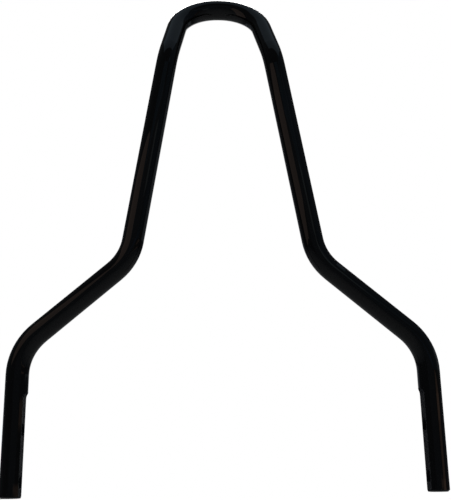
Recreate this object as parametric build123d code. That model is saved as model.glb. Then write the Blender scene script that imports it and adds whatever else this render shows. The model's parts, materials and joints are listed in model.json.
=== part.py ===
from build123d import *
import math
import os

# Bolt-on sissy bar: one solid round steel bar bent into a tall hoop. Two parallel legs stand at the bottom.
# From each leg the bar turns inward into a diagonal, then up into a long upright. Near the top both uprights
# are kicked back, and a round crown joins them. The inner face of each leg is milled flat, and two blind
# tapped holes in that flat take the bolts. Millimetres, with X across, front at -Y, +Z up.

# Bar and its bends
BAR_D = 15.875
LEG_SPACING = 285.75
OVERALL_HEIGHT = 393.7
LEG_CORNER_HEIGHT = 98.9
DIAGONAL_ANGLE = 49.5
UPRIGHT_ANGLE = 9.35
SIDE_BEND_R = 38.1
END_CHAMFER = 1.2

# Kicked-back top; KICKED_RISE runs up its slope, from the kick's corner to the middle of the bar in the crown
KICK_BACK_ANGLE = 28.0
KICKED_RISE = 67.3
KICK_BEND_R = 38.1
CROWN_BEND_R = 34.0
CROWN_STRAIGHT = 1.5

# Milled flat on the inner face of each leg, with the milling cutter's run-out at its upper end
FLAT_DEPTH = 2.2
FLAT_LENGTH = 65.3
CUTTER_R = 4.7625

# Tapped holes in the flat, cut to the thread's outer diameter; the tap drill runs on below the thread
FIRST_HOLE_HEIGHT = 10.32
HOLE_SPACING = 34.0
THREAD_D = 7.938
THREAD_DEPTH = 7.5
TAP_DRILL_D = 6.53
DRILL_RUN_ON = 1.5
DRILL_POINT_ANGLE = 118.0
HOLE_CHAMFER = 0.5

# How far a cutting shape runs past the face that it opens
CUT_PAST = 2.0

bar_r = BAR_D / 2
half_spacing = LEG_SPACING / 2
diagonal = math.radians(DIAGONAL_ANGLE)
upright = math.radians(UPRIGHT_ANGLE)
kick = math.radians(KICK_BACK_ANGLE)

# Legs, diagonals and the lower uprights stand in one upright plane. What height and inward reach
# the kicked top leaves over is shared between the diagonal and the upright below the kick.
half_crown = CROWN_STRAIGHT / 2 + CROWN_BEND_R * math.tan((math.pi / 2 - upright) / 2)
plane_rise = OVERALL_HEIGHT - bar_r - KICKED_RISE * math.cos(kick) - LEG_CORNER_HEIGHT
inward = half_spacing - half_crown - (plane_rise + KICKED_RISE) * math.tan(upright)
diagonal_rise = inward / (math.tan(diagonal) - math.tan(upright))
upright_rise = plane_rise - diagonal_rise

# The origin is midway between the legs, level with their ends, and midway from front to back.
leg_y = -KICKED_RISE * math.sin(kick) / 2


def direction(angle, back):
    """Direction on the right side, leaning inward by the first angle and back by the second."""
    along = math.cos(angle)
    return Vector(-math.sin(angle), along * math.sin(back), along * math.cos(back))


def section(at, along):
    """The bar's round section across its direction."""
    return Plane(origin=at, z_dir=along) * Circle(bar_r)


def straight(start, end):
    """A straight run of the bar."""
    along = end - start
    return extrude(section(start, along), amount=along.length)


def bend(start, before, after, radius):
    """A bend of the bar from one direction to the next, with the radius at its centreline."""
    turn = before.get_angle(after)
    inside = (after - before * math.cos(math.radians(turn))).normalized()
    spin = Axis(start + inside * radius, before.cross(inside))
    return revolve(section(start, before), axis=spin, revolution_arc=turn)


# Right half of the bar, from the leg's end to the middle of the crown
leg_end = Vector(half_spacing, leg_y, 0)
leg_corner = Vector(half_spacing, leg_y, LEG_CORNER_HEIGHT)
upright_corner = leg_corner + direction(diagonal, 0) * (diagonal_rise / math.cos(diagonal))
kick_corner = upright_corner + direction(upright, 0) * (upright_rise / math.cos(upright))
crown_corner = kick_corner + direction(upright, kick) * (KICKED_RISE / math.cos(upright))
crown_middle = Vector(0, crown_corner.Y, crown_corner.Z)

# The leg's end has a chamfered rim, so the first length of the bar is a short cone.
chamfer_top = leg_end + Vector(0, 0, END_CHAMFER)
pieces = [Pos(*leg_end) * Solid.make_cone(bar_r - END_CHAMFER, bar_r, END_CHAMFER)]

corners = [chamfer_top, leg_corner, upright_corner, kick_corner, crown_corner, crown_middle]
radii = [SIDE_BEND_R, SIDE_BEND_R, KICK_BEND_R, CROWN_BEND_R]
here = chamfer_top
for number, radius in enumerate(radii, start=1):
    before = (corners[number] - corners[number - 1]).normalized()
    after = (corners[number + 1] - corners[number]).normalized()
    tangent = radius * math.tan(math.radians(before.get_angle(after)) / 2)
    bend_start = corners[number] - before * tangent
    pieces.append(straight(here, bend_start))
    pieces.append(bend(bend_start, before, after, radius))
    here = corners[number] + after * tangent
pieces.append(straight(here, crown_middle))

half_bar = pieces[0]
for piece in pieces[1:]:
    half_bar = half_bar + piece

# Milled flat: the cutter runs up the leg's inner face and leaves its own round shape at the top.
flat_x = half_spacing - (bar_r - FLAT_DEPTH)
cut_width = BAR_D + 2 * CUT_PAST
cut_below = FLAT_LENGTH + CUT_PAST
flat_cut = Pos(flat_x - CUTTER_R, leg_y, FLAT_LENGTH - cut_below / 2) * Box(2 * CUTTER_R, cut_width, cut_below)
run_out = Pos(flat_x - CUTTER_R, leg_y, FLAT_LENGTH) * Rot(90, 0, 0) * Cylinder(CUTTER_R, cut_width)
half_bar = half_bar - flat_cut - run_out

# Tapped holes: entry chamfer, threaded length, drilled run-on and drill point, into the bar from the flat
thread_r = THREAD_D / 2
drill_r = TAP_DRILL_D / 2
drill_depth = THREAD_DEPTH + DRILL_RUN_ON
point_depth = drill_r / math.tan(math.radians(DRILL_POINT_ANGLE / 2))
mouth_r = thread_r + HOLE_CHAMFER
for height in (FIRST_HOLE_HEIGHT, FIRST_HOLE_HEIGHT + HOLE_SPACING):
    into = Plane(origin=(flat_x, leg_y, height), z_dir=(1, 0, 0))
    hole = into * Pos(0, 0, -CUT_PAST) * Solid.make_cylinder(thread_r, THREAD_DEPTH + CUT_PAST)
    hole = hole + into * Solid.make_cone(mouth_r, thread_r, HOLE_CHAMFER)
    hole = hole + into * Solid.make_cylinder(drill_r, drill_depth)
    hole = hole + into * Pos(0, 0, drill_depth) * Solid.make_cone(drill_r, 0, point_depth)
    half_bar = half_bar - hole

bar = half_bar + mirror(half_bar, about=Plane.YZ)
bar = bar.solids()[0]
bar.label = "bent_bar"

os.makedirs("parts", exist_ok=True)
export_step(bar, "parts/bent_bar.step")
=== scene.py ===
import json
import math

import bmesh
import bpy
from mathutils import Matrix, Vector


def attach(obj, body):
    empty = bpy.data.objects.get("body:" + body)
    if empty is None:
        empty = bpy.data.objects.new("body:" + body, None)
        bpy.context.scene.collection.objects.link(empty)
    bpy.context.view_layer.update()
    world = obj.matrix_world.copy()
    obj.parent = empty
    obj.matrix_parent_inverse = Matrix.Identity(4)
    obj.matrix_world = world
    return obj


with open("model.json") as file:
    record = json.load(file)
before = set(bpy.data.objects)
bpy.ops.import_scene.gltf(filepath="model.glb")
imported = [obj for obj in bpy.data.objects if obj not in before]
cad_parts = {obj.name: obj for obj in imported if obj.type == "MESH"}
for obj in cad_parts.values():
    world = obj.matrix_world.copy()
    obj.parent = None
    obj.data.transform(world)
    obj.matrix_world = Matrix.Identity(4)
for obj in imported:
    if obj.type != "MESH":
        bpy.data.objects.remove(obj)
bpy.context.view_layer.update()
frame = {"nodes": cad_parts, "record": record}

# Places on the bar, in metres, as the record gives them
BAR = frame["nodes"]["bent_bar"]
MOUNTS = {mount["name"]: mount for mount in frame["record"]["mounts"]}
RIGHT_HOLES = MOUNTS["right_leg_holes"]
FLAT_X = RIGHT_HOLES["pos_m"][0]
LEG_Y = RIGHT_HOLES["pos_m"][1]
HOLES_Z = RIGHT_HOLES["pos_m"][2]
HOLE_SPACING = RIGHT_HOLES["dims"]["spacing_y_mm"] / 1000
HOLE_HEIGHTS = {"lower": HOLES_Z - 0.5 * HOLE_SPACING, "upper": HOLES_Z + 0.5 * HOLE_SPACING}
BORE_R = RIGHT_HOLES["dims"]["hole_r_mm"] / 1000

# Sizes that the record doesn't give: the flat, its cutter, and a hole's chamfered mouth and full depth
FLAT_LENGTH = 0.0653
CUTTER_R = 0.0047625
MOUTH_PAST_BORE = 0.0006
HOLE_REACH = 0.0125

scene = bpy.context.scene
scene.view_settings.view_transform = "Standard"


def link(obj):
    scene.collection.objects.link(obj)
    return obj


# Camera at the photograph's viewing angle: low, in front, a little left of the middle, looking up
CAMERA_AT = Vector((-0.02284, -0.57401, 0.01582))
CAMERA_FORWARD = Vector((0.0422, 0.96311, 0.26577)).normalized()
CAMERA_UP = Vector((0.00361, -0.26615, 0.96393))

camera_data = bpy.data.cameras.new("camera")
camera_data.lens = 57.6
camera_data.sensor_width = 36.0
camera_data.clip_start = 0.01
camera_data.clip_end = 200.0
camera = link(bpy.data.objects.new("camera", camera_data))
frame_right = CAMERA_FORWARD.cross(CAMERA_UP).normalized()
frame_up = frame_right.cross(CAMERA_FORWARD)
camera_turn = Matrix((frame_right, frame_up, -CAMERA_FORWARD)).transposed()
camera.matrix_world = Matrix.Translation(CAMERA_AT) @ camera_turn.to_4x4()
scene.camera = camera


class Nodes:
    """A node tree with short calls for the nodes used here."""

    def __init__(self, tree):
        self.tree = tree
        tree.nodes.clear()

    def add(self, kind, **settings):
        node = self.tree.nodes.new(kind)
        for name, value in settings.items():
            setattr(node, name, value)
        return node

    def join(self, source, target):
        self.tree.links.new(source, target)

    def math(self, operation, first, second=None):
        node = self.add("ShaderNodeMath", operation=operation)
        for socket, value in zip(node.inputs, (first, second)):
            if value is None:
                continue
            if isinstance(value, (int, float)):
                socket.default_value = value
            else:
                self.join(value, socket)
        return node.outputs[0]

    def span(self, value, low, high, to_low=0.0, to_high=1.0):
        node = self.add("ShaderNodeMapRange", interpolation_type="SMOOTHSTEP")
        self.join(value, node.inputs["Value"])
        node.inputs["From Min"].default_value = low
        node.inputs["From Max"].default_value = high
        node.inputs["To Min"].default_value = to_low
        node.inputs["To Max"].default_value = to_high
        return node.outputs["Result"]

    def noise(self, vector, scale, detail=2.0, roughness=0.5):
        node = self.add("ShaderNodeTexNoise")
        self.join(vector, node.inputs["Vector"])
        node.inputs["Scale"].default_value = scale
        node.inputs["Detail"].default_value = detail
        node.inputs["Roughness"].default_value = roughness
        return node.outputs["Fac"]

    def mix(self, factor, first, second):
        node = self.add("ShaderNodeMix", data_type="RGBA")
        self.join(factor, node.inputs["Factor"])
        for name, value in (("A", first), ("B", second)):
            socket = [s for s in node.inputs if s.name == name and s.type == "RGBA"][0]
            if isinstance(value, tuple):
                socket.default_value = value
            else:
                self.join(value, socket)
        return [s for s in node.outputs if s.type == "RGBA"][0]


def new_shader(name):
    """A new material with one Principled shader, its nodes and the place on the object."""
    material = bpy.data.materials.new(name)
    material.use_nodes = True
    n = Nodes(material.node_tree)
    out = n.add("ShaderNodeOutputMaterial")
    shader = n.add("ShaderNodeBsdfPrincipled")
    n.join(shader.outputs["BSDF"], out.inputs["Surface"])
    return material, n, shader, n.add("ShaderNodeTexCoord").outputs["Object"]


PAINT_IOR = 1.47
RELIEF_DEPTH = 0.00003


def coat_shader(name):
    """A new material for a coat of paint on the bar."""
    material, n, shader, place = new_shader(name)
    shader.inputs["IOR"].default_value = PAINT_IOR
    shader.inputs["Metallic"].default_value = 0.0
    return material, n, shader, place


def relief(n, shader, height, strength):
    bump = n.add("ShaderNodeBump")
    bump.inputs["Strength"].default_value = strength
    bump.inputs["Distance"].default_value = RELIEF_DEPTH
    n.join(height, bump.inputs["Height"])
    n.join(bump.outputs["Normal"], shader.inputs["Normal"])


def gloss_black():
    """Gloss black coat: cloudy jet black with dust nibs, duller smears and a faint orange peel."""
    material, n, shader, place = coat_shader("gloss_black_coat")
    cloud = n.noise(place, 38.0, 4.0, 0.6)
    specks = n.span(n.noise(place, 900.0, 1.0), 0.70, 0.76)
    base = n.mix(cloud, (0.0026, 0.0026, 0.0030, 1.0), (0.0042, 0.0041, 0.0044, 1.0))
    base = n.mix(n.math("MULTIPLY", specks, 0.35), base, (0.030, 0.029, 0.028, 1.0))
    n.join(base, shader.inputs["Base Color"])
    smear = n.span(n.noise(place, 90.0, 3.0, 0.65), 0.35, 0.75, 0.025, 0.06)
    n.join(n.math("ADD", smear, n.math("MULTIPLY", specks, 0.12)), shader.inputs["Roughness"])
    relief(n, shader, n.noise(place, 420.0, 2.0, 0.45), 0.06)
    return material


def milled_black():
    """Thin matt coat on the milled flats and in the holes, rubbed, over the cutter's lines. Its slate-blue
    tone, lighter than the gloss coat, is a painted reflection of the bluish room on the flats and painted
    light inside the holes.
    """
    material, n, shader, place = coat_shader("milled_black_coat")
    shader.inputs["Specular IOR Level"].default_value = 0.06
    rubbed = n.noise(place, 160.0, 4.0, 0.6)
    # Slate-blue base, lighter than the gloss coat: painted reflection of the bluish room on the flats and
    # painted light in the holes; the rubbed noise varies it at random
    base = n.mix(rubbed, (0.016, 0.0185, 0.023, 1.0), (0.022, 0.025, 0.030, 1.0))
    n.join(base, shader.inputs["Base Color"])
    n.join(n.span(rubbed, 0.3, 0.7, 0.62, 0.78), shader.inputs["Roughness"])
    lines = n.add("ShaderNodeTexWave", wave_type="BANDS", bands_direction="Z", wave_profile="SIN")
    n.join(place, lines.inputs["Vector"])
    lines.inputs["Scale"].default_value = 260.0
    lines.inputs["Distortion"].default_value = 1.5
    lines.inputs["Detail"].default_value = 2.0
    relief(n, shader, lines.outputs["Fac"], 0.08)
    return material


# How far a face may lie off the milled surface, and how far a milled face may turn towards front or back
MOUTH_SLACK = 0.0001
MILLED_SLACK = 0.00005
MILLED_TURN = 0.05


def is_milled(face):
    """True on the flats, on the cutter's run-outs above them and in the holes."""
    place, normal = face.center, face.normal
    in_depth = FLAT_X - MOUTH_SLACK < abs(place.x) < FLAT_X + HOLE_REACH
    for height in HOLE_HEIGHTS.values():
        if in_depth and math.hypot(place.y - LEG_Y, place.z - height) < BORE_R + MOUTH_PAST_BORE:
            return True
    above = max(place.z - FLAT_LENGTH, 0.0)
    if above > CUTTER_R:
        return False
    depth = FLAT_X - CUTTER_R + math.sqrt(CUTTER_R ** 2 - above ** 2)
    return abs(place.x) < depth + MILLED_SLACK and abs(normal.y) < MILLED_TURN


coat = gloss_black()
milled = milled_black()
BAR.data.materials.clear()
BAR.data.materials.append(coat)
BAR.data.materials.append(milled)
for face in BAR.data.polygons:
    face.use_smooth = True
    face.material_index = 1 if is_milled(face) else 0

# Thread ridges in the four tapped holes: 5/16 inch, 18 turns to the inch, cut from the flat outward
PITCH = 0.0254 / 18
CREST_R = 0.003265
ROOT_PAST_BORE = 0.00012
THREAD_FROM = 0.0011
THREAD_TO = 0.0068
STEPS_PER_TURN = 32
# Ridge section: how far along the bore, as a share of the pitch, and how far from the wall to the crest
RIDGE = ((-0.44, 0.0), (-0.10, 0.93), (-0.04, 1.0), (0.04, 1.0), (0.10, 0.93), (0.44, 0.0))
# Share of the full height that the ridge has at its ends, and what it gains with each turn
RIDGE_AT_ENDS = 0.06
RIDGE_PER_TURN = 1.2


def thread(name, mouth, into):
    """A helical ridge with a rounded-off crest, which fades into the wall at both ends."""
    mesh = bmesh.new()
    turns = (THREAD_TO - THREAD_FROM) / PITCH
    steps = int(turns * STEPS_PER_TURN)
    across = Vector((0, 1, 0))
    upright = into.cross(across)
    root_r = BORE_R + ROOT_PAST_BORE
    rings = []
    for step in range(steps + 1):
        share = step / steps
        angle = 2 * math.pi * turns * share
        grown = min(1.0, RIDGE_AT_ENDS + RIDGE_PER_TURN * share * turns,
                    RIDGE_AT_ENDS + RIDGE_PER_TURN * (1 - share) * turns)
        axial = THREAD_FROM + (THREAD_TO - THREAD_FROM) * share
        outward = across * math.cos(angle) + upright * math.sin(angle)
        ring = []
        for along, rise in RIDGE:
            radius = root_r - (root_r - CREST_R) * rise * grown
            point = mouth + into * (axial + along * PITCH) + outward * radius
            ring.append(mesh.verts.new(point))
        rings.append(ring)
    for first, second in zip(rings, rings[1:]):
        for k in range(len(RIDGE)):
            following = (k + 1) % len(RIDGE)
            mesh.faces.new((first[k], first[following], second[following], second[k]))
    mesh.faces.new(rings[0])
    mesh.faces.new(list(reversed(rings[-1])))
    bmesh.ops.recalc_face_normals(mesh, faces=mesh.faces)
    data = bpy.data.meshes.new(name)
    mesh.to_mesh(data)
    mesh.free()
    for face in data.polygons:
        face.use_smooth = True
    # The ridges take the milled coat, whose lighter slate tone is painted light inside the holes
    data.materials.append(milled)
    piece = link(bpy.data.objects.new(name, data))
    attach(piece, "root")


for leg, sign in (("left", -1), ("right", 1)):
    for level, height in HOLE_HEIGHTS.items():
        thread(f"thread_{leg}_{level}", Vector((sign * FLAT_X, LEG_Y, height)), Vector((sign, 0, 0)))

# Plain pale floor, well below the bar, which is held by its legs
FLOOR_Z = -0.22
FLOOR_BACK = 3.2
FLOOR_SIDE = 6.0
FLOOR_FRONT = -8.0


def pale_floor():
    material, n, shader, place = new_shader("pale_floor")
    shader.inputs["Roughness"].default_value = 0.9
    shader.inputs["Specular IOR Level"].default_value = 0.1
    grain = n.noise(place, 30.0, 3.0)
    n.join(n.mix(grain, (0.58, 0.58, 0.59, 1.0), (0.62, 0.62, 0.62, 1.0)), shader.inputs["Base Color"])
    return material


corners = [(-FLOOR_SIDE, FLOOR_FRONT), (FLOOR_SIDE, FLOOR_FRONT),
           (FLOOR_SIDE, FLOOR_BACK), (-FLOOR_SIDE, FLOOR_BACK)]
floor_mesh = bpy.data.meshes.new("floor")
floor_mesh.from_pydata([(x, y, FLOOR_Z) for x, y in corners], [], [(0, 1, 2, 3)])
floor_mesh.materials.append(pale_floor())
floor = link(bpy.data.objects.new("floor", floor_mesh))

# Surroundings: a plain dim room with a white backdrop panel behind the bar. The panel fills the picture,
# whose half width and half height are given over the focal length, and fades into the room past its edge.
FOCAL_LENGTH_PX = 800
PANEL_HALF_WIDTH = 225.5 / FOCAL_LENGTH_PX
PANEL_HALF_HEIGHT = 250 / FOCAL_LENGTH_PX
FADE_FROM = 0.006
FADE_TO = 0.045
ROOM = (0.040, 0.043, 0.047, 1.0)
WHITE = (1.0, 1.0, 1.0, 1.0)


def surroundings():
    world = bpy.data.worlds.new("studio")
    scene.world = world
    world.use_nodes = True
    n = Nodes(world.node_tree)
    out = n.add("ShaderNodeOutputWorld")
    background = n.add("ShaderNodeBackground")
    n.join(background.outputs[0], out.inputs["Surface"])
    background.inputs["Strength"].default_value = 1.0
    direction = n.add("ShaderNodeTexCoord").outputs["Generated"]

    def along(axis):
        node = n.add("ShaderNodeVectorMath", operation="DOT_PRODUCT")
        n.join(direction, node.inputs[0])
        node.inputs[1].default_value = axis
        return node.outputs["Value"]

    def within(axis, half):
        off_centre = n.math("ABSOLUTE", n.math("DIVIDE", along(axis), ahead))
        return n.span(off_centre, half + FADE_FROM, half + FADE_TO, 1.0, 0.0)

    ahead = along(CAMERA_FORWARD)
    panel = n.math("MULTIPLY", within(frame_right, PANEL_HALF_WIDTH), within(frame_up, PANEL_HALF_HEIGHT))
    panel = n.math("MULTIPLY", panel, n.math("GREATER_THAN", ahead, 0.0))
    n.join(n.mix(panel, ROOM, WHITE), background.inputs["Color"])


surroundings()

# The point on the bar's middle that the soft lights stand round
LIT_POINT = Vector((0, 0, 0.2))


def light_panel(name, centre, half_right, half_up, radiance):
    """A flat soft light given by its centre and two half sides. It shines against right crossed with up."""
    right, up = Vector(half_right), Vector(half_up)
    data = bpy.data.lights.new(name, "AREA")
    data.shape = "RECTANGLE"
    data.size = 2 * right.length
    data.size_y = 2 * up.length
    strongest = max(radiance)
    # A flat panel of one radiance gives pi times its area times that radiance in watts
    data.energy = math.pi * data.size * data.size_y * strongest
    data.color = [value / strongest for value in radiance]
    lamp = link(bpy.data.objects.new(name, data))
    away = right.cross(up).normalized()
    turned = Matrix((right.normalized(), up.normalized(), away)).transposed()
    lamp.matrix_world = Matrix.Translation(Vector(centre)) @ turned.to_4x4()


def softbox(name, azimuth, elevation, distance, radiance):
    """A soft light that covers a span of azimuth and elevation, as seen from the bar and in degrees.
    Azimuth 0 is the camera's side and 90 is to the right."""
    a, e = (math.radians(sum(pair) / 2) for pair in (azimuth, elevation))
    wide, high = (math.tan(math.radians(pair[1] - pair[0]) / 2) * distance for pair in (azimuth, elevation))
    away = Vector((math.sin(a) * math.cos(e), -math.cos(a) * math.cos(e), math.sin(e)))
    right = Vector((-math.cos(a), -math.sin(a), 0.0))
    half_right = right * wide * math.cos(e)
    light_panel(name, LIT_POINT + away * distance, half_right, away.cross(right) * high, radiance)


# Key light behind and above, a pale blue ceiling, a warm panel near the left, a warm card by the right leg
# and dim lights round the room
softbox("key", (167, 193), (38, 58), 2.2, (8.0, 7.92, 7.76))
light_panel("ceiling", (1.4, -0.9, 10.2), (7.1, 0, 0), (0, 4.6, 0), (0.094, 0.126, 0.156))
light_panel("warm_left", (-0.39, -0.535, 0.44), (0, -0.45, 0.165), (0, 0.048, 0.131),
            (0.240, 0.172, 0.142))
softbox("front_low", (-22, 40), (-3, 24), 10.0, (0.018, 0.022, 0.027))
softbox("front_blue", (-16, 30), (23, 31), 10.0, (0.022, 0.042, 0.060))
softbox("right_blue", (42, 92), (7, 49), 10.0, (0.009, 0.020, 0.032))
softbox("right_pale", (22, 37), (15, 25), 0.57, (0.100, 0.116, 0.118))
softbox("right_pale_high", (30, 44), (25, 33), 10.0, (0.036, 0.052, 0.072))
softbox("blue_strip", (8, 46), (7, 10), 10.0, (0.006, 0.026, 0.060))
softbox("warm_right_high", (46, 74), (2.2, 4.2), 10.0, (0.150, 0.094, 0.066))
softbox("warm_right_low", (26, 72), (-3.5, -1.9), 10.0, (0.180, 0.113, 0.079))
light_panel("warm_right_card", (0.321, -0.094, 0.035), (0.1225, -0.0208, 0), (0, 0, 0.055),
            (0.215, 0.134, 0.094))
softbox("right_back", (92, 140), (6, 20), 10.0, (0.082, 0.096, 0.108))
softbox("left_back", (-165, -126), (-1, 24), 10.0, (0.050, 0.056, 0.066))
softbox("left_back_low", (-168, -128), (0, 6), 10.0, (0.070, 0.074, 0.094))
